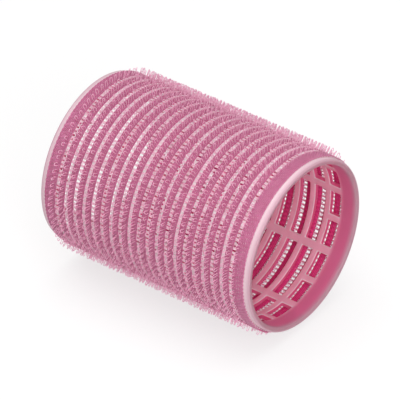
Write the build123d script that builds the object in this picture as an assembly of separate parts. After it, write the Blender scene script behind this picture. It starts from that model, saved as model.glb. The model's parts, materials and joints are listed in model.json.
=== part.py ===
from build123d import *
import os

# A self-grip hair roller: a moulded lattice tube with a woven hook tape wrapped once round it.
# The roller lies on its side. Its axis runs along X, +Z is up, and it rests on the plane Z = 0.
# Millimetres and degrees. Angles about the axis start at the top and grow towards -Y.

# ---- Driving dimensions ----

CORE_LENGTH = 63.0
CORE_RADIUS = 22.0
CORE_WALL = 1.4
RIM_ROUNDING = 0.45

WINDOW_ROWS = 12
WINDOW_LENGTH = 3.0
RING_RIB_WIDTH = 1.6
BAR_COUNT = 8
BAR_WIDTH = 2.2
SHORT_BAR_WIDTH = 1.8
WIDE_BAR_WIDTH = 5.2
WIDE_BAR_INDEX = 3
FIRST_BAR_ANGLE = 7.0

TAPE_WIDTH = 60.0
GAP_COUNT = 20
GAP_PITCH = 2.76
GAP_WIDTH = 0.9
WEFT_COUNT = 128
WEFT_WIDTH = 0.65
WEFT_THICKNESS = 0.15
BAND_THICKNESS = 0.3

WELD_WIDTH = 4.4
WELD_THICKNESS = 0.3

HOOK_HEIGHT = 1.7
HOOK_ROW_WIDTH = 0.4
HOOK_FACETS = 24

# ---- Worked out from them ----

BORE_RADIUS = CORE_RADIUS - CORE_WALL
BAND_RADIUS = CORE_RADIUS + WEFT_THICKNESS
TAPE_RADIUS = BAND_RADIUS + BAND_THICKNESS
TIP_RADIUS = TAPE_RADIUS + HOOK_HEIGHT
AXIS_HEIGHT = TIP_RADIUS

LATTICE_LENGTH = WINDOW_ROWS * WINDOW_LENGTH + (WINDOW_ROWS - 1) * RING_RIB_WIDTH
ROW_PITCH = WINDOW_LENGTH + RING_RIB_WIDTH
BAR_STEP = 360.0 / BAR_COUNT
WIDE_BAR_ANGLE = FIRST_BAR_ANGLE + WIDE_BAR_INDEX * BAR_STEP

BAND_COUNT = GAP_COUNT + 1
INNER_BAND_WIDTH = GAP_PITCH - GAP_WIDTH
EDGE_BAND_WIDTH = (TAPE_WIDTH - (GAP_COUNT - 1) * GAP_PITCH - GAP_WIDTH) / 2.0
CUT_MARGIN = 1.0


def place(shape):
    """Lifts a shape built about the X axis to the height at which the roller lies."""
    return Pos(0, 0, AXIS_HEIGHT) * shape


def tube(low_x, high_x, inner_radius, outer_radius):
    """A round tube about the X axis."""
    section = Circle(outer_radius) - Circle(inner_radius)
    return extrude(Plane.YZ.offset(low_x) * section, amount=high_x - low_x)


def strip(low_x, high_x, width, inner_radius, outer_radius):
    """A curved strip along the top of a tube, cut to a width."""
    block = Box(high_x - low_x, width, 2 * CUT_MARGIN + outer_radius - inner_radius)
    middle = Pos((low_x + high_x) / 2.0, 0, (inner_radius + outer_radius) / 2.0)
    return tube(low_x, high_x, inner_radius, outer_radius) & (middle * block)


def bar_block(low_x, high_x, width, angle):
    """A block through the core's wall at one angle, which keeps a bar there between two windows."""
    depth = CORE_WALL + 4 * CUT_MARGIN
    block = Box(high_x - low_x, width, depth)
    middle = Pos((low_x + high_x) / 2.0, 0, CORE_RADIUS - CORE_WALL / 2.0)
    return Rot(X=angle) * (middle * block)


def window_row(row):
    """The windows of one row, as the solids that are cut from the wall."""
    low_x = -LATTICE_LENGTH / 2.0 + row * ROW_PITCH
    high_x = low_x + WINDOW_LENGTH
    cutter = tube(low_x, high_x, BORE_RADIUS - CUT_MARGIN, CORE_RADIUS + CUT_MARGIN)
    bars = []
    for index in range(BAR_COUNT):
        width = WIDE_BAR_WIDTH if index == WIDE_BAR_INDEX else BAR_WIDTH
        angle = FIRST_BAR_ANGLE + index * BAR_STEP
        bars.append(bar_block(low_x - CUT_MARGIN, high_x + CUT_MARGIN, width, angle))
        if row in (0, WINDOW_ROWS - 1):
            middle_angle = angle + BAR_STEP / 2.0
            bars.append(bar_block(low_x - CUT_MARGIN, high_x + CUT_MARGIN, SHORT_BAR_WIDTH, middle_angle))
    return (cutter - bars).solids()


def make_core():
    """The moulded tube: a plain collar at each end, ring ribs and bars between them."""
    wall = tube(-CORE_LENGTH / 2.0, CORE_LENGTH / 2.0, BORE_RADIUS, CORE_RADIUS)
    wall = fillet(wall.edges().filter_by(GeomType.CIRCLE), RIM_ROUNDING)
    windows = []
    for row in range(WINDOW_ROWS):
        windows.extend(window_row(row))
    return wall - windows


def band_span(index):
    """The low and high X of one band of the tape. The first and the last are the wide edges."""
    if index == 0:
        return -TAPE_WIDTH / 2.0, -TAPE_WIDTH / 2.0 + EDGE_BAND_WIDTH
    low_x = -TAPE_WIDTH / 2.0 + EDGE_BAND_WIDTH + GAP_WIDTH + (index - 1) * GAP_PITCH
    if index == BAND_COUNT - 1:
        return low_x, TAPE_WIDTH / 2.0
    return low_x, low_x + INNER_BAND_WIDTH


def make_band(index):
    """One band of warp yarns, once round the core."""
    low_x, high_x = band_span(index)
    return tube(low_x, high_x, BAND_RADIUS, TAPE_RADIUS)


def make_weft_threads():
    """The cross threads, which lie along the core under the bands and carry them across the gaps."""
    thread = strip(-TAPE_WIDTH / 2.0, TAPE_WIDTH / 2.0, WEFT_WIDTH, CORE_RADIUS, BAND_RADIUS)
    step = 360.0 / WEFT_COUNT
    return [place(Rot(X=index * step) * thread) for index in range(WEFT_COUNT)]


def make_weld():
    """The strip over the wide bar where the tape's two ends are melted together."""
    half = TAPE_WIDTH / 2.0
    return Rot(X=WIDE_BAR_ANGLE) * strip(-half, half, WELD_WIDTH, TAPE_RADIUS, TAPE_RADIUS + WELD_THICKNESS)


def make_hook_row(index, weld):
    """The envelope of one row of hooks. It has flats, because the hooks it stands on bend a little."""
    low_x, high_x = band_span(index)
    middle_x = (low_x + high_x) / 2.0
    outline = RegularPolygon(TIP_RADIUS, HOOK_FACETS, major_radius=False, rotation=180.0 / HOOK_FACETS)
    plane = Plane.YZ.offset(middle_x - HOOK_ROW_WIDTH / 2.0)
    ring = extrude(plane * (outline - Circle(TAPE_RADIUS)), amount=HOOK_ROW_WIDTH)
    return ring - weld


def save(name, shape):
    """Writes one sub-part to its own file."""
    export_step(shape, f"parts/{name}.step")


os.makedirs("parts", exist_ok=True)

save("core", place(make_core()))
save("weft_threads", Compound(children=make_weft_threads()))
tape_weld = make_weld()
save("tape_weld", place(tape_weld))
for band in range(BAND_COUNT):
    save(f"tape_band_{band + 1:02d}", place(make_band(band)))
    save(f"hook_row_{band + 1:02d}", place(make_hook_row(band, tape_weld)))
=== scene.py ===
"""A self-grip hair roller: a translucent moulded core, and round it a woven openwork tape full of hooks.

Lengths are in millimetres until a mesh is made, and angles about the axis are in degrees. They start at the
top and grow towards -Y. The roller lies on its side along X, on the plane Z = 0.
"""

import json
import math

import bpy
import numpy as np
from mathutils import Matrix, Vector


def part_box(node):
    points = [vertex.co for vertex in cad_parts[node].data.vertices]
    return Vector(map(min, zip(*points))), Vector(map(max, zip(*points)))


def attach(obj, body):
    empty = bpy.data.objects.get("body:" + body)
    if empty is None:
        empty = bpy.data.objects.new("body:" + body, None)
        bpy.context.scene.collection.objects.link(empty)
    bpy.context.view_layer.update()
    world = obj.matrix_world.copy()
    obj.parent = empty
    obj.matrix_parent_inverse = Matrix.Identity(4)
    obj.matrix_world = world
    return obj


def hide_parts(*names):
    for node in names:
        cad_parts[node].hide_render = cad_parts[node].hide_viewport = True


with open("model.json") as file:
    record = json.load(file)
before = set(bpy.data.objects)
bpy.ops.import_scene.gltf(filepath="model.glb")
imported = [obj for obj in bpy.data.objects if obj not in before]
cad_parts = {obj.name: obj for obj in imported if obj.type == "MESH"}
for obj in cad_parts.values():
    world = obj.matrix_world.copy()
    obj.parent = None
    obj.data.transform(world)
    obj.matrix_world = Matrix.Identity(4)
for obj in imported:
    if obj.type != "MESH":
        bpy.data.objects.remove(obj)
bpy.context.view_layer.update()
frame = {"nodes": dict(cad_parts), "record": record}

MM = 0.001
ALONG = np.array([1.0, 0.0, 0.0])
SEED = 7


# ---- Places and sizes from the frame ----


def node_box(name):
    """A CAD node's low and high corners, in millimetres."""
    low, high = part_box(name)
    return np.array(low) / MM, np.array(high) / MM


def node_span(name):
    """The low and the high X of a CAD node."""
    low, high = node_box(name)
    return low[0], high[0]


def node_radius(name):
    """The outer radius of a CAD node that goes all the way round the axis."""
    low, high = node_box(name)
    return (high[2] - low[2]) / 2


core_low, core_high = node_box("core")
CORE_RADIUS = node_radius("core")
HALF_LENGTH = core_high[0]
AXIS_HEIGHT = (core_low[2] + core_high[2]) / 2
BORE_RADIUS = next(m for m in frame["record"]["mounts"] if m["name"] == "bore")["dims"]["r_mm"]

BAND_NODES = sorted(n for n in frame["nodes"] if n.startswith("tape_band_"))
HOOK_NODES = sorted(n for n in frame["nodes"] if n.startswith("hook_row_"))
BANDS = [node_span(n) for n in BAND_NODES]
TAPE_LOW = BANDS[0][0]
TAPE_HIGH = BANDS[-1][1]
TAPE_RADIUS = node_radius(BAND_NODES[0])
TIP_RADIUS = node_radius(HOOK_NODES[0])
GAP_WIDTH = BANDS[1][0] - BANDS[0][1]

# ---- The core: its lattice as the CAD model has it, and its rounded edges ----

WINDOW_ROWS = 12
WINDOW_LENGTH = 3.0
RING_RIB_WIDTH = 1.6
ROW_PITCH = WINDOW_LENGTH + RING_RIB_WIDTH
LATTICE_LENGTH = WINDOW_ROWS * ROW_PITCH - RING_RIB_WIDTH
BAR_COUNT = 8
BAR_STEP = 360.0 / BAR_COUNT
BAR_WIDTH = 2.2
SHORT_BAR_WIDTH = 1.8
WIDE_BAR_WIDTH = 5.2
WIDE_BAR_INDEX = 3
FIRST_BAR_ANGLE = 7.0
LONGEST_WALL_STEP = 3.0  # degrees
RIM_ROUNDING = 0.45
RIM_STEPS = 4
EDGE_ROUNDING = 0.3
EDGE_STEPS = 3
SHARP_ANGLE = 50  # degrees

# ---- The tape's coated back. The cross threads are half sunk in it ----

CLOTH_LOW = CORE_RADIUS + 0.04
CLOTH_HIGH = CORE_RADIUS + 0.14
CLOTH_INSET = 0.12
BRIDGE_WIDTH = 0.14

# ---- The cross threads, or wefts. Each is two picks of yarn side by side ----

WEFT_COUNT = 128
WEFT_STEP = 360.0 / WEFT_COUNT
WEFT_MIDDLE = CORE_RADIUS + 0.15
PICK_HALF_WIDTH = 0.16
PICK_HALF_HEIGHT = 0.09
PICK_SPREAD = 0.165
PICK_ANGLE_SCATTER = 0.06  # degrees
PICK_RADIUS_SCATTER = 0.012

# ---- The warp yarns ----

YARN_PITCH = 0.465
YARN_FILL = 0.97  # share of the pitch
YARN_HALF_HEIGHT = 0.125
YARN_WAVE = 0.055
YARN_WIDTH_SWELL = 0.05  # share of the pitch
YARN_HEIGHT_SWELL = 0.12  # share of the half height
YARN_SNAKING = 0.012
FEWEST_BENDS = 5
MOST_BENDS = 18
YARN_SAMPLES_PER_WEFT = 6
BAND_PHASE = 0.9  # radians
YARN_SIDES = 6

# ---- The weld ----

TAPE_OVERLAP = 4.4
WELD_ANGLE = FIRST_BAR_ANGLE + WIDE_BAR_INDEX * BAR_STEP
WELD_HALF_ANGLE = math.degrees(TAPE_OVERLAP / 2 / TAPE_RADIUS)
WELD_LINES_ALONG = 241
WELD_LINES_ACROSS = 23
WELD_SINK = 0.2
WELD_LIFT = 0.02
WELD_RISE = 0.24
WELD_BEVEL = 0.4
PRESSED_SHARE = 0.45  # share of the ridges' height that the hollows keep
DIAMOND_PITCH = 1.0

# ---- The hooks, and the stub that each leaves beside it ----

HOOK_RADIUS = 0.085
HOOK_PITCH = 1.7
HOOK_SIDES = 5
CROOK_RADIUS = 0.36
FOOT_DEPTH = 0.25
SELVEDGE = 2.0
COLUMN_STAGGER = 0.5  # share of the hooks' pitch
BAND_STAGGER = 0.31  # share of the hooks' pitch
WELD_CLEARANCE_ANGLE = 0.5  # degrees
FOOT_ANGLE_SCATTER = 0.25  # degrees
FOOT_X_SCATTER = 0.04
HEADING_SCATTER = 0.2  # radians
LEAN_SCATTER = 0.09  # radians
HEIGHT_SCATTER = 0.05  # share of the height

# ---- The core's colours: white outside, and inside painted pink light from the tape on the ribs' and collars' inner faces and on the windows' sides, with a painted glow on the windows' edges ----

OUTSIDE_WHITE = (0.96, 0.94, 0.95)
# The rims' pink tint is painted light from the tape, on pale plastic.
RIM_OUTSIDE = (0.84, 0.69, 0.74)
RIM_PALE = (0.58, 0.37, 0.44)
# Painted pink light from the tape behind: on the ribs' and collars' inner faces and on the windows' side
# walls.
RIB_PAINTED_PINK_LIGHT = (1.0, 0.57, 0.70)
COLLAR_PAINTED_PINK_LIGHT = (0.82, 0.22, 0.41)
WALL_PAINTED_PINK_LIGHT = (0.86, 0.14, 0.34)
# A painted glow along the windows' rounded edges.
EDGE_PAINTED_GLOW = (1.0, 0.84, 0.89)
WHITE_DEPTH = 0.2  # below the outer surface, where the white begins to change
PAINTED_PINK_DEPTH = 0.6  # where the pink is full
COLLAR_BLEND = 0.03  # share of half the core's length

# ---- The tape's colours, and those of the light that comes through it ----

YARN_DARK = (0.44, 0.11, 0.23)
YARN_LIGHT = (0.57, 0.18, 0.34)
YARN_GLOW = (0.80, 0.12, 0.32)
WEFT_DARK = (0.86, 0.70, 0.77)
WEFT_LIGHT = (0.95, 0.82, 0.88)
WELD_DARK = (0.47, 0.10, 0.22)
WELD_LIGHT = (0.60, 0.16, 0.31)
# The back's deep crimson is partly painted shade, for the light that bounces many times inside the tube.
BACK_DARK = (0.62, 0.02, 0.17)
BACK_LIGHT = (0.84, 0.06, 0.29)
BACK_GLOW = (0.95, 0.07, 0.32)
HOOK_DARK = (0.82, 0.44, 0.60)
HOOK_LIGHT = (0.92, 0.62, 0.75)
HOOK_GLOW = (0.95, 0.62, 0.77)

# ---- The studio: places and sizes in metres, and the lens in millimetres ----

FLOOR_SIZE = 6.0
CAMERA_PLACE = (0.5777, -0.745, 0.6788)
CAMERA_LENS = 430


# ---- Geometry helpers ----


def outward(degrees):
    """Unit vectors away from the axis at these angles."""
    a = np.radians(degrees)
    return np.stack([np.zeros_like(a), -np.sin(a), np.cos(a)], -1)


def around(degrees):
    """Unit vectors round the axis at these angles, the way the angles grow."""
    a = np.radians(degrees)
    return np.stack([np.zeros_like(a), -np.cos(a), -np.sin(a)], -1)


def turn_between(first, second):
    """The shortest turn between two angles, without its sign."""
    return abs((second - first + 180) % 360 - 180)


def half_turn_of(width, radius):
    """Half of the angle that a bar of this width takes up at a radius."""
    return math.degrees(math.asin(width / 2 / radius))


def split_evenly(edges, step):
    """The edges, with every stretch between two of them cut into equal parts no longer than step. The last
    edge is left out, because on a closed ring it is the first one again."""
    out = []
    for a, b in zip(edges[:-1], edges[1:]):
        parts = max(1, math.ceil((b - a) / step))
        out.extend(a + (b - a) * np.arange(parts) / parts)
    return out


def sweep(points, side_a, side_b, sides, closed):
    """Tubes along lines of points, (lines, points, 3), with half axes side_a and side_b. Their cross product
    points along the line. Open tubes get flat ends."""
    turn = 2 * np.pi * np.arange(sides) / sides
    cos, sin = np.cos(turn)[:, None], np.sin(turn)[:, None]
    verts = points[:, :, None] + cos * side_a[:, :, None] + sin * side_b[:, :, None]
    index = np.arange(verts[..., 0].size).reshape(verts.shape[:3])
    here = index if closed else index[:, :-1]
    beyond = np.roll(index, -1, axis=1) if closed else index[:, 1:]
    corners = [here, np.roll(here, -1, axis=2), np.roll(beyond, -1, axis=2), beyond]
    faces = np.stack(corners, -1).reshape(-1, 4).tolist()
    if not closed:
        faces += index[:, 0, ::-1].tolist()
        faces += index[:, -1].tolist()
    return verts.reshape(-1, 3), faces


def lattice(x_lines, outer, inner, degrees, solid):
    """A tube with openings. x_lines, outer and inner are its stations along X with their radii, and solid
    says for each cell between two stations and two angles whether there is wall."""
    rows, columns = len(x_lines), len(degrees)
    direction = outward(degrees)
    station = np.array(x_lines)[:, None, None] * ALONG
    outside = station + np.array(outer)[:, None, None] * direction
    inside = station + np.array(inner)[:, None, None] * direction
    verts = np.concatenate([outside.reshape(-1, 3), inside.reshape(-1, 3)])
    out = np.arange(rows * columns).reshape(rows, columns)
    low = out + rows * columns
    faces = []
    for i in range(rows - 1):
        for j in range(columns):
            if not solid[i, j]:
                continue
            k = (j + 1) % columns
            faces.append([out[i, j], out[i, k], out[i + 1, k], out[i + 1, j]])
            faces.append([low[i, j], low[i + 1, j], low[i + 1, k], low[i, k]])
            if i == 0 or not solid[i - 1, j]:
                faces.append([out[i, j], low[i, j], low[i, k], out[i, k]])
            if i == rows - 2 or not solid[i + 1, j]:
                faces.append([out[i + 1, k], low[i + 1, k], low[i + 1, j], out[i + 1, j]])
            if not solid[i, j - 1]:
                faces.append([out[i, j], out[i + 1, j], low[i + 1, j], low[i, j]])
            if not solid[i, k]:
                faces.append([out[i, k], low[i, k], low[i + 1, k], out[i + 1, k]])
    faces = np.array(faces)
    used, flat = np.unique(faces, return_inverse=True)
    return verts[used], flat.reshape(faces.shape).tolist()


def add_piece(name, verts, faces, material, replaced=()):
    """Makes one piece of the object from points in millimetres about the axis."""
    mesh = bpy.data.meshes.new(name)
    places = (verts + np.array([0, 0, AXIS_HEIGHT])) * MM
    mesh.from_pydata(places.tolist(), [], faces)
    mesh.shade_smooth()
    mesh.materials.append(material)
    piece = bpy.data.objects.new(name, mesh)
    bpy.context.scene.collection.objects.link(piece)
    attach(piece, "root")
    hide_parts(*replaced)
    return piece


# ---- Shader node helpers ----


def new_material(name):
    """A material, with its node tree and its shader node."""
    material = bpy.data.materials.new(name)
    material.use_nodes = True
    tree = material.node_tree
    return material, tree, tree.nodes["Principled BSDF"]


def link_or_set(tree, source, socket):
    """Feeds a socket from an output, or gives it a fixed value."""
    if isinstance(source, bpy.types.NodeSocket):
        tree.links.new(source, socket)
    else:
        socket.default_value = source


def object_place(tree):
    """Where a point lies on the object."""
    return tree.nodes.new("ShaderNodeTexCoord").outputs["Object"]


def absolute(tree, value):
    """A value without its sign."""
    node = tree.nodes.new("ShaderNodeMath")
    node.operation = "ABSOLUTE"
    tree.links.new(value, node.inputs[0])
    return node.outputs["Value"]


def vector_math(tree, operation, first, second=None):
    """A calculation on one vector or on two."""
    node = tree.nodes.new("ShaderNodeVectorMath")
    node.operation = operation
    link_or_set(tree, first, node.inputs[0])
    if second is not None:
        link_or_set(tree, second, node.inputs[1])
    return node.outputs["Value" if operation in ("LENGTH", "DOT_PRODUCT") else "Vector"]


def map_range(tree, value, begin, end, first=0.0, last=1.0):
    """A number that passes from first to last as the value goes from begin to end, and is level beyond."""
    node = tree.nodes.new("ShaderNodeMapRange")
    node.inputs["From Min"].default_value = begin
    node.inputs["From Max"].default_value = end
    node.inputs["To Min"].default_value = first
    node.inputs["To Max"].default_value = last
    tree.links.new(value, node.inputs["Value"])
    return node.outputs["Result"]


def noise(tree, scale, detail):
    """Noise over the object, with this many of its largest grains to a metre."""
    node = tree.nodes.new("ShaderNodeTexNoise")
    node.inputs["Scale"].default_value = scale
    node.inputs["Detail"].default_value = detail
    tree.links.new(object_place(tree), node.inputs["Vector"])
    return node.outputs["Fac"]


def colour_ramp(tree, value, stops):
    """A colour that changes with a value, from (value, colour) stops between 0 and 1."""
    ramp = tree.nodes.new("ShaderNodeValToRGB")
    elements = ramp.color_ramp.elements
    while len(elements) < len(stops):
        elements.new(0.5)
    for element, (position, colour) in zip(elements, stops):
        element.position = position
        element.color = (*colour, 1)
    tree.links.new(value, ramp.inputs["Fac"])
    return ramp.outputs["Color"]


def blend_colours(tree, share, first, second):
    """A colour that passes from the first to the second as the share goes from 0 to 1."""
    blend = tree.nodes.new("ShaderNodeMix")
    blend.data_type = "RGBA"
    tree.links.new(share, blend.inputs["Factor"])
    tree.links.new(first, blend.inputs["A"])
    tree.links.new(second, blend.inputs["B"])
    return blend.outputs["Result"]


def bump(tree, shader, height, strength, depth):
    """Bump on the shader, from a height between 0 and 1 that stands for a depth in millimetres."""
    node = tree.nodes.new("ShaderNodeBump")
    node.inputs["Strength"].default_value = strength
    node.inputs["Distance"].default_value = depth * MM
    tree.links.new(height, node.inputs["Height"])
    tree.links.new(node.outputs["Normal"], shader.inputs["Normal"])


def let_light_through(tree, shader, colour, share):
    """Mixes the shader with light that comes through from behind, as in thin cloth or plastic."""
    through = tree.nodes.new("ShaderNodeBsdfTranslucent")
    link_or_set(tree, colour, through.inputs["Color"])
    mix = tree.nodes.new("ShaderNodeMixShader")
    mix.inputs["Fac"].default_value = share
    tree.links.new(shader.outputs["BSDF"], mix.inputs[1])
    tree.links.new(through.outputs["BSDF"], mix.inputs[2])
    tree.links.new(mix.outputs["Shader"], tree.nodes["Material Output"].inputs["Surface"])


# ---- Materials ----


def core_values(tree):
    """Three values on the core from 0 to 1: how far a point is from the middle towards a rim, how far it is
    from the outer surface to the inner one, and how squarely its surface faces the axis or away from it."""
    place = object_place(tree)
    split = tree.nodes.new("ShaderNodeSeparateXYZ")
    tree.links.new(place, split.inputs["Vector"])
    reach = map_range(tree, absolute(tree, split.outputs["X"]), 0, HALF_LENGTH * MM)
    from_axis = vector_math(tree, "SUBTRACT", place, (0, 0, AXIS_HEIGHT * MM))
    across = vector_math(tree, "MULTIPLY", from_axis, (0, 1, 1))
    radius = vector_math(tree, "LENGTH", across)
    inside = map_range(tree, radius, (CORE_RADIUS - WHITE_DEPTH) * MM, (CORE_RADIUS - PAINTED_PINK_DEPTH) * MM)
    normal = tree.nodes.new("ShaderNodeNewGeometry").outputs["Normal"]
    facing = absolute(tree, vector_math(tree, "DOT_PRODUCT", vector_math(tree, "NORMALIZE", across), normal))
    return reach, inside, facing


def core_colour(tree, reach, inside, facing):
    """White outside. Inside, the pink is painted light from the tape behind the plastic, strongest in the
    collars and on the windows' side walls, and the rounded edges of the windows carry a painted glow. The
    bare rims are pale plastic with painted pink light on them."""
    lattice_end = LATTICE_LENGTH / 2 / HALF_LENGTH
    collar = lattice_end + COLLAR_BLEND
    tape_end = TAPE_HIGH / HALF_LENGTH
    outer_stops = [(lattice_end, OUTSIDE_WHITE), (tape_end, RIM_OUTSIDE), (1.0, RIM_PALE)]
    inner_stops = [(lattice_end, RIB_PAINTED_PINK_LIGHT), (collar, COLLAR_PAINTED_PINK_LIGHT), (tape_end, COLLAR_PAINTED_PINK_LIGHT), (1.0, RIM_PALE)]
    outer = colour_ramp(tree, reach, outer_stops)
    inner = colour_ramp(tree, reach, inner_stops)
    wall = colour_ramp(tree, reach, [(lattice_end + COLLAR_BLEND / 3, WALL_PAINTED_PINK_LIGHT), (tape_end, RIM_PALE)])
    # The rounded edges get a painted glow.
    edge = colour_ramp(tree, reach, [(collar, EDGE_PAINTED_GLOW), (tape_end, RIM_PALE)])

    # facing is near 0 on a window's side wall, between on its rounded edge, and near 1 on the big faces.
    face = blend_colours(tree, inside, outer, inner)
    # The side walls take painted pink light, and the rounded edges a painted glow.
    side = blend_colours(tree, map_range(tree, facing, 0.25, 0.5), wall, edge)
    return blend_colours(tree, map_range(tree, facing, 0.95, 0.99), side, face)


def core_material():
    """Natural moulded plastic: milky, with a satin surface, and clearer inside than outside."""
    material, tree, shader = new_material("core_plastic")
    reach, inside, facing = core_values(tree)
    colour = core_colour(tree, reach, inside, facing)
    clearness = map_range(tree, inside, 0, 1, first=0.1, last=0.58)
    tree.links.new(colour, shader.inputs["Base Color"])
    tree.links.new(clearness, shader.inputs["Transmission Weight"])
    shader.inputs["Roughness"].default_value = 0.35
    shader.inputs["IOR"].default_value = 1.32
    bump(tree, shader, noise(tree, 160, detail=2), strength=0.08, depth=0.1)
    let_light_through(tree, shader, colour, 0.3)
    return material


def back_material():
    """The coated back of the tape, with the ribs of its weave showing. Its crimson, deeper than the yarn's
    pink, is partly painted: it stands in for light bouncing many times inside the tube.
    """
    material, tree, shader = new_material("tape_back")
    waves_per_metre = 20 / (2 * math.pi)  # of a wave texture whose scale is 1
    ribs = tree.nodes.new("ShaderNodeTexWave")
    ribs.inputs["Scale"].default_value = 1 / (waves_per_metre * YARN_PITCH * MM)
    ribs.inputs["Distortion"].default_value = 1.0
    ribs.inputs["Detail Scale"].default_value = 0.4
    tree.links.new(object_place(tree), ribs.inputs["Vector"])
    colour = colour_ramp(tree, ribs.outputs["Fac"], [(0.0, BACK_DARK), (0.6, BACK_LIGHT)])
    tree.links.new(colour, shader.inputs["Base Color"])
    shader.inputs["Roughness"].default_value = 0.6
    bump(tree, shader, ribs.outputs["Fac"], strength=0.6, depth=0.08)
    let_light_through(tree, shader, (*BACK_GLOW, 1), 0.4)
    return material


def yarn_material(name, dark, light, glow, share):
    """Synthetic yarn: soft sheen, colour that wanders a little, fine fibre bump, and a share of light that
    glows through it."""
    material, tree, shader = new_material(name)
    fibres = noise(tree, 900, detail=3)
    colour = colour_ramp(tree, fibres, [(0.3, dark), (0.7, light)])
    tree.links.new(colour, shader.inputs["Base Color"])
    shader.inputs["Roughness"].default_value = 0.55
    shader.inputs["Sheen Weight"].default_value = 0.6
    shader.inputs["Sheen Roughness"].default_value = 0.4
    shader.inputs["Sheen Tint"].default_value = (1.0, 0.88, 0.94, 1)
    bump(tree, shader, fibres, strength=0.35, depth=0.04)
    let_light_through(tree, shader, (*glow, 1), share)
    return material


def hook_material():
    """Clear pink nylon monofilament."""
    material, tree, shader = new_material("hook_nylon")
    colour = colour_ramp(tree, noise(tree, 400, detail=3), [(0.3, HOOK_DARK), (0.7, HOOK_LIGHT)])
    tree.links.new(colour, shader.inputs["Base Color"])
    shader.inputs["Roughness"].default_value = 0.25
    shader.inputs["IOR"].default_value = 1.53
    let_light_through(tree, shader, (*HOOK_GLOW, 1), 0.5)
    return material


# ---- The core ----


def bar_angles():
    """The middle angle and half width, in degrees, of each long bar and of each short one."""
    long_bars, short_bars = [], []
    for i in range(BAR_COUNT):
        width = WIDE_BAR_WIDTH if i == WIDE_BAR_INDEX else BAR_WIDTH
        middle = FIRST_BAR_ANGLE + i * BAR_STEP
        long_bars.append((middle, half_turn_of(width, CORE_RADIUS)))
        short_bars.append((middle + BAR_STEP / 2, half_turn_of(SHORT_BAR_WIDTH, CORE_RADIUS)))
    return long_bars, short_bars


def make_core(material):
    """The moulded tube, with rounded rims and rounded window edges."""
    quarter = np.radians(np.linspace(90, 0, RIM_STEPS + 1))
    rim_x = list(HALF_LENGTH - RIM_ROUNDING * (1 - np.sin(quarter)))
    rim_inset = list(RIM_ROUNDING * (1 - np.cos(quarter)))
    row_lows = [-LATTICE_LENGTH / 2 + row * ROW_PITCH for row in range(WINDOW_ROWS)]
    window_x = [x for low in row_lows for x in (low, low + WINDOW_LENGTH)]
    x_lines = [-x for x in rim_x] + window_x + rim_x[::-1]
    insets = rim_inset + [0.0] * len(window_x) + rim_inset[::-1]
    outer = [CORE_RADIUS - inset for inset in insets]
    inner = [BORE_RADIUS + inset for inset in insets]

    long_bars, short_bars = bar_angles()
    edges = sorted(m + s * h for m, h in long_bars + short_bars for s in (-1, 1))
    degrees = np.array(split_evenly(edges + [edges[0] + 360], LONGEST_WALL_STEP))
    middles = (degrees + np.append(degrees[1:], degrees[0] + 360)) / 2

    solid = np.ones((len(x_lines) - 1, len(degrees)), bool)
    for row in range(WINDOW_ROWS):
        kept = long_bars + (short_bars if row in (0, WINDOW_ROWS - 1) else [])
        solid[len(rim_x) + 2 * row] = [any(turn_between(m, a) < h for m, h in kept) for a in middles]
    verts, faces = lattice(x_lines, outer, inner, degrees, solid)
    core = add_piece("core_body", verts, faces, material, ["core"])
    rounding = core.modifiers.new("rounded_edges", "BEVEL")
    rounding.width = EDGE_ROUNDING * MM
    rounding.segments = EDGE_STEPS
    rounding.limit_method = "ANGLE"
    rounding.angle_limit = math.radians(SHARP_ANGLE)
    rounding.harden_normals = True


# ---- The tape's coated back, cross threads and warp yarns ----


def make_cloth(material):
    """The coated back of the tape: a strip under each band, joined by a bridge at each cross thread."""
    x_lines, is_band = [], []
    for low, high in BANDS:
        x_lines += [low + CLOTH_INSET, high - CLOTH_INSET]
        is_band += [True, False]
    half = math.degrees(BRIDGE_WIDTH / 2 / CORE_RADIUS)
    degrees, is_bridge = [], []
    for i in range(WEFT_COUNT):
        degrees += [i * WEFT_STEP - half, i * WEFT_STEP + half, (i + 0.5) * WEFT_STEP]
        is_bridge += [True, False, False]
    solid = np.array(is_band[:-1])[:, None] | np.array(is_bridge)[None, :]
    radii = np.ones(len(x_lines))
    verts, faces = lattice(x_lines, CLOTH_HIGH * radii, CLOTH_LOW * radii, np.array(degrees), solid)
    return add_piece("tape_cloth", verts, faces, material)


def make_wefts(material, rng):
    """The cross threads, which run along the roller and show in the gaps. Each is a pair of picks, which
    wander a little at every band's two edges and in the middle of every gap."""
    x = []
    for low, high in BANDS:
        x += [low, high, high + GAP_WIDTH / 2]
    x = np.array(x[:-1])
    pair = math.degrees(PICK_SPREAD / CORE_RADIUS) * np.array([-1, 1])
    middle = (WEFT_STEP * np.arange(WEFT_COUNT)[:, None] + pair).reshape(-1, 1)
    angle = middle + rng.normal(0, PICK_ANGLE_SCATTER, (2 * WEFT_COUNT, len(x)))
    radius = WEFT_MIDDLE + rng.normal(0, PICK_RADIUS_SCATTER, angle.shape)
    points = x[None, :, None] * ALONG + radius[..., None] * outward(angle)
    side_a = PICK_HALF_HEIGHT * outward(angle)
    side_b = PICK_HALF_WIDTH * around(angle)
    verts, faces = sweep(points, side_a, side_b, YARN_SIDES, closed=False)
    return add_piece("cross_threads", verts, faces, material, ["weft_threads"])


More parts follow.
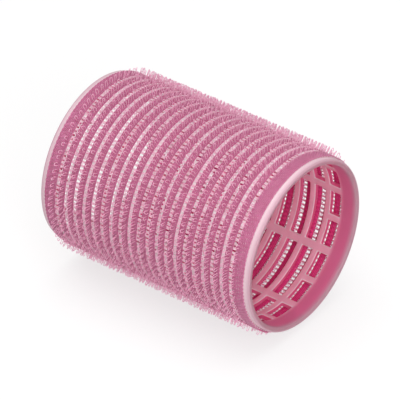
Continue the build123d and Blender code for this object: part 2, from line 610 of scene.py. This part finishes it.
def make_band(index, material, rng):
    """The warp yarns of one band. Each goes up and down once between two cross threads, and each a quarter
    of a wave later than its neighbour, which gives the band its slanting grain. They also snake a little."""
    low, high = BANDS[index]
    count = round((high - low) / YARN_PITCH)
    pitch = (high - low) / count
    samples = WEFT_COUNT * YARN_SAMPLES_PER_WEFT
    angle = 360.0 * np.arange(samples) / samples
    yarn = np.arange(count)[:, None]
    wave = np.sin(np.radians(WEFT_COUNT * angle)[None] + yarn * np.pi / 2 + index * BAND_PHASE)
    bends = rng.integers(FEWEST_BENDS, MOST_BENDS + 1, (count, 1))
    snake = np.sin(np.radians(angle)[None] * bends + rng.uniform(0, 2 * math.pi, (count, 1)))
    x = low + (yarn + 0.5) * pitch + YARN_SNAKING * snake
    radius = TAPE_RADIUS - YARN_HALF_HEIGHT - YARN_WAVE + YARN_WAVE * wave
    points = x[..., None] * ALONG + radius[..., None] * outward(angle)[None]
    half_width = pitch / 2 * (YARN_FILL + YARN_WIDTH_SWELL * wave)
    half_height = YARN_HALF_HEIGHT * (1 + YARN_HEIGHT_SWELL * wave)
    side_a = half_width[..., None] * ALONG
    side_b = half_height[..., None] * outward(angle)[None]
    verts, faces = sweep(points, side_a, side_b, YARN_SIDES, closed=True)
    name = BAND_NODES[index].replace("tape_band", "band_yarns")
    return add_piece(name, verts, faces, material, [BAND_NODES[index]])


# ---- The hooks ----


def hook_profile():
    """A hook's line in its own plane, across and up from its foot: a bowed shank, then the crook."""
    top = TIP_RADIUS - TAPE_RADIUS - HOOK_RADIUS - CROOK_RADIUS
    shank = [(0.0, -FOOT_DEPTH), (0.02, 0.25 * top), (0.03, 0.6 * top), (0.0, top)]
    turn = np.radians([150, 118, 86, 54, 22, -10, -40])
    crook = [(CROOK_RADIUS * (1 + math.cos(t)), top + CROOK_RADIUS * math.sin(t)) for t in turn]
    return np.array(shank + crook)


def stub_profile():
    """The line of the stub, the other end of the loop that was cut to make the hook."""
    return np.array([(0.62, -FOOT_DEPTH), (0.66, 0.2), (0.74, 0.55), (0.86, 0.85)])


def stand_up(profile, foot_x, foot_angle, heading, lean, scale):
    """Places a profile at many feet. heading turns its plane about the upright, lean tips it over sideways,
    and scale makes it shorter."""
    across, up = profile[:, 0], profile[:, 1]
    step = np.gradient(profile, axis=0)
    step /= np.linalg.norm(step, axis=1, keepdims=True)
    up_vector = outward(foot_angle)
    flat = np.cos(heading)[:, None] * ALONG + np.sin(heading)[:, None] * around(foot_angle)
    plane_normal = np.cross(flat, up_vector)
    up_vector = np.cos(lean)[:, None] * up_vector + np.sin(lean)[:, None] * plane_normal
    plane_normal = np.cross(flat, up_vector)
    foot = foot_x[:, None] * ALONG + TAPE_RADIUS * outward(foot_angle)
    tall = (scale[:, None] * up)[..., None] * up_vector[:, None]
    points = foot[:, None] + across[None, :, None] * flat[:, None] + tall
    side_a = -step[None, :, 1, None] * flat[:, None] + step[None, :, 0, None] * up_vector[:, None]
    side_b = np.broadcast_to(plane_normal[:, None], side_a.shape)
    return points, HOOK_RADIUS * side_a, HOOK_RADIUS * side_b


def make_hooks(index, material, rng):
    """The hooks of one band: two staggered columns that face opposite ways, one on the wide edges, and none
    on the weld or on the tape's selvedges."""
    low, high = BANDS[index]
    at_edge = index in (0, len(BANDS) - 1)
    low += SELVEDGE if index == 0 else 0
    high -= SELVEDGE if index == len(BANDS) - 1 else 0
    columns = 1 if at_edge else 2
    count = round(2 * np.pi * TAPE_RADIUS / HOOK_PITCH)
    step = 360.0 / count
    x, angle, heading = [], [], []
    for column in range(columns):
        start = (COLUMN_STAGGER * column + BAND_STAGGER * index) % 1
        angle.append(step * (np.arange(count) + start) + rng.normal(0, FOOT_ANGLE_SCATTER, count))
        middle_x = low + (high - low) * (column + 0.5) / columns
        x.append(middle_x + rng.normal(0, FOOT_X_SCATTER, count))
        side = 1 if (column + index) % 2 else -1
        heading.append(np.radians(90 * side) + rng.normal(0, HEADING_SCATTER, count))
    x, angle, heading = np.concatenate(x), np.concatenate(angle), np.concatenate(heading)
    free = turn_between(WELD_ANGLE, angle) > WELD_HALF_ANGLE + WELD_CLEARANCE_ANGLE
    x, angle, heading = x[free], angle[free], heading[free]
    lean = rng.normal(0, LEAN_SCATTER, len(x))
    scale = 1 - np.abs(rng.normal(0, HEIGHT_SCATTER, len(x)))
    verts, faces = sweep(*stand_up(hook_profile(), x, angle, heading, lean, scale), HOOK_SIDES, closed=False)
    stubs = stand_up(stub_profile(), x, angle, heading, lean, scale)
    stub_verts, stub_faces = sweep(*stubs, HOOK_SIDES, closed=False)
    faces += [[i + len(verts) for i in face] for face in stub_faces]
    verts = np.concatenate([verts, stub_verts])
    name = HOOK_NODES[index].replace("hook_row", "hooks")
    return add_piece(name, verts, faces, material, [HOOK_NODES[index]])


# ---- The weld ----


def make_weld(material):
    """The strip where the tape's ends are melted together, pressed with a fine diamond pattern."""
    along = np.linspace(TAPE_LOW, TAPE_HIGH, WELD_LINES_ALONG)
    turn = np.linspace(-WELD_HALF_ANGLE, WELD_HALF_ANGLE, WELD_LINES_ACROSS)
    u, v = np.meshgrid(along, np.radians(turn) * TAPE_RADIUS, indexing="ij")
    ridge_a = np.abs(np.sin(np.pi * (u + v) / DIAMOND_PITCH))
    ridge_b = np.abs(np.sin(np.pi * (u - v) / DIAMOND_PITCH))
    edge = np.clip((TAPE_OVERLAP / 2 - np.abs(v)) / WELD_BEVEL, 0, 1)
    height = edge * (PRESSED_SHARE + (1 - PRESSED_SHARE) * ridge_a * ridge_b)
    radius = TAPE_RADIUS + WELD_LIFT + WELD_RISE * height
    direction = outward(WELD_ANGLE + turn)
    top = along[:, None, None] * ALONG + radius[..., None] * direction[None]
    bottom = along[:, None, None] * ALONG + (TAPE_RADIUS - WELD_SINK) * direction[None]
    verts = np.concatenate([top.reshape(-1, 3), bottom.reshape(-1, 3)])
    index = np.arange(u.size).reshape(u.shape)
    under = index + u.size
    quads = np.stack([index[:-1, :-1], index[:-1, 1:], index[1:, 1:], index[1:, :-1]], -1)
    base = np.stack([under[:-1, :-1], under[1:, :-1], under[1:, 1:], under[:-1, 1:]], -1)
    loop = np.concatenate([index[:, 0], index[-1, 1:], index[-2::-1, -1], index[0, -2:0:-1]])
    under_loop = loop + u.size
    walls = np.stack([loop, np.roll(loop, -1), np.roll(under_loop, -1), under_loop], -1)
    faces = quads.reshape(-1, 4).tolist() + base.reshape(-1, 4).tolist() + walls.tolist()
    return add_piece("weld_strip", verts, faces, material, ["tape_weld"])


# ---- Floor, light and camera ----


def make_floor():
    """A plain pale floor that glows a little, so that it comes out nearly white."""
    bpy.ops.mesh.primitive_plane_add(size=FLOOR_SIZE)
    floor = bpy.context.object
    floor.name = "floor"
    material, _, shader = new_material("floor_paint")
    shader.inputs["Base Color"].default_value = (0.22, 0.22, 0.22, 1)
    shader.inputs["Roughness"].default_value = 0.8
    shader.inputs["Emission Color"].default_value = (1.0, 1.0, 1.0, 1)
    shader.inputs["Emission Strength"].default_value = 0.68
    floor.data.materials.append(material)


def make_light(name, place, size, power, colour):
    """A square soft light that faces the roller."""
    data = bpy.data.lights.new(name, "AREA")
    data.size = size
    data.energy = power
    data.color = colour
    light = bpy.data.objects.new(name, data)
    light.location = place
    light.rotation_euler = (-Vector(place)).to_track_quat("-Z", "Y").to_euler()
    bpy.context.scene.collection.objects.link(light)


def make_world():
    """An even white studio."""
    world = bpy.data.worlds.new("studio")
    world.use_nodes = True
    background = world.node_tree.nodes["Background"]
    background.inputs["Color"].default_value = (1.0, 1.0, 1.0, 1)
    background.inputs["Strength"].default_value = 0.6
    bpy.context.scene.world = world
    bpy.context.scene.view_settings.view_transform = "Standard"


def make_camera():
    """A long lens from the front right and above, on the middle of the roller."""
    data = bpy.data.cameras.new("camera")
    data.lens = CAMERA_LENS
    data.clip_end = 20
    camera = bpy.data.objects.new("camera", data)
    camera.location = CAMERA_PLACE
    target = Vector((0, 0, AXIS_HEIGHT * MM))
    camera.rotation_euler = (target - camera.location).to_track_quat("-Z", "Y").to_euler()
    bpy.context.scene.collection.objects.link(camera)
    bpy.context.scene.camera = camera


# ---- Making it all ----

make_camera()
make_world()
make_floor()
make_light("key", place=(-0.1, -0.1, 1.0), size=1.2, power=10, colour=(1.0, 0.99, 0.98))
make_light("fill", place=(0.34, -0.24, 0.22), size=0.3, power=1.5, colour=(1.0, 1.0, 1.0))

rng = np.random.default_rng(SEED)
band_yarn = yarn_material("band_yarn", YARN_DARK, YARN_LIGHT, glow=YARN_GLOW, share=0.3)
cross_thread = yarn_material("cross_thread", WEFT_DARK, WEFT_LIGHT, glow=WEFT_LIGHT, share=0.5)
melted_tape = yarn_material("melted_tape", WELD_DARK, WELD_LIGHT, glow=YARN_GLOW, share=0.3)
hook_nylon = hook_material()

make_core(core_material())
cloth = make_cloth(back_material())
tape_pieces = [make_wefts(cross_thread, rng), make_weld(melted_tape)]
for band in range(len(BANDS)):
    tape_pieces.append(make_band(band, band_yarn, rng))
    tape_pieces.append(make_hooks(band, hook_nylon, rng))
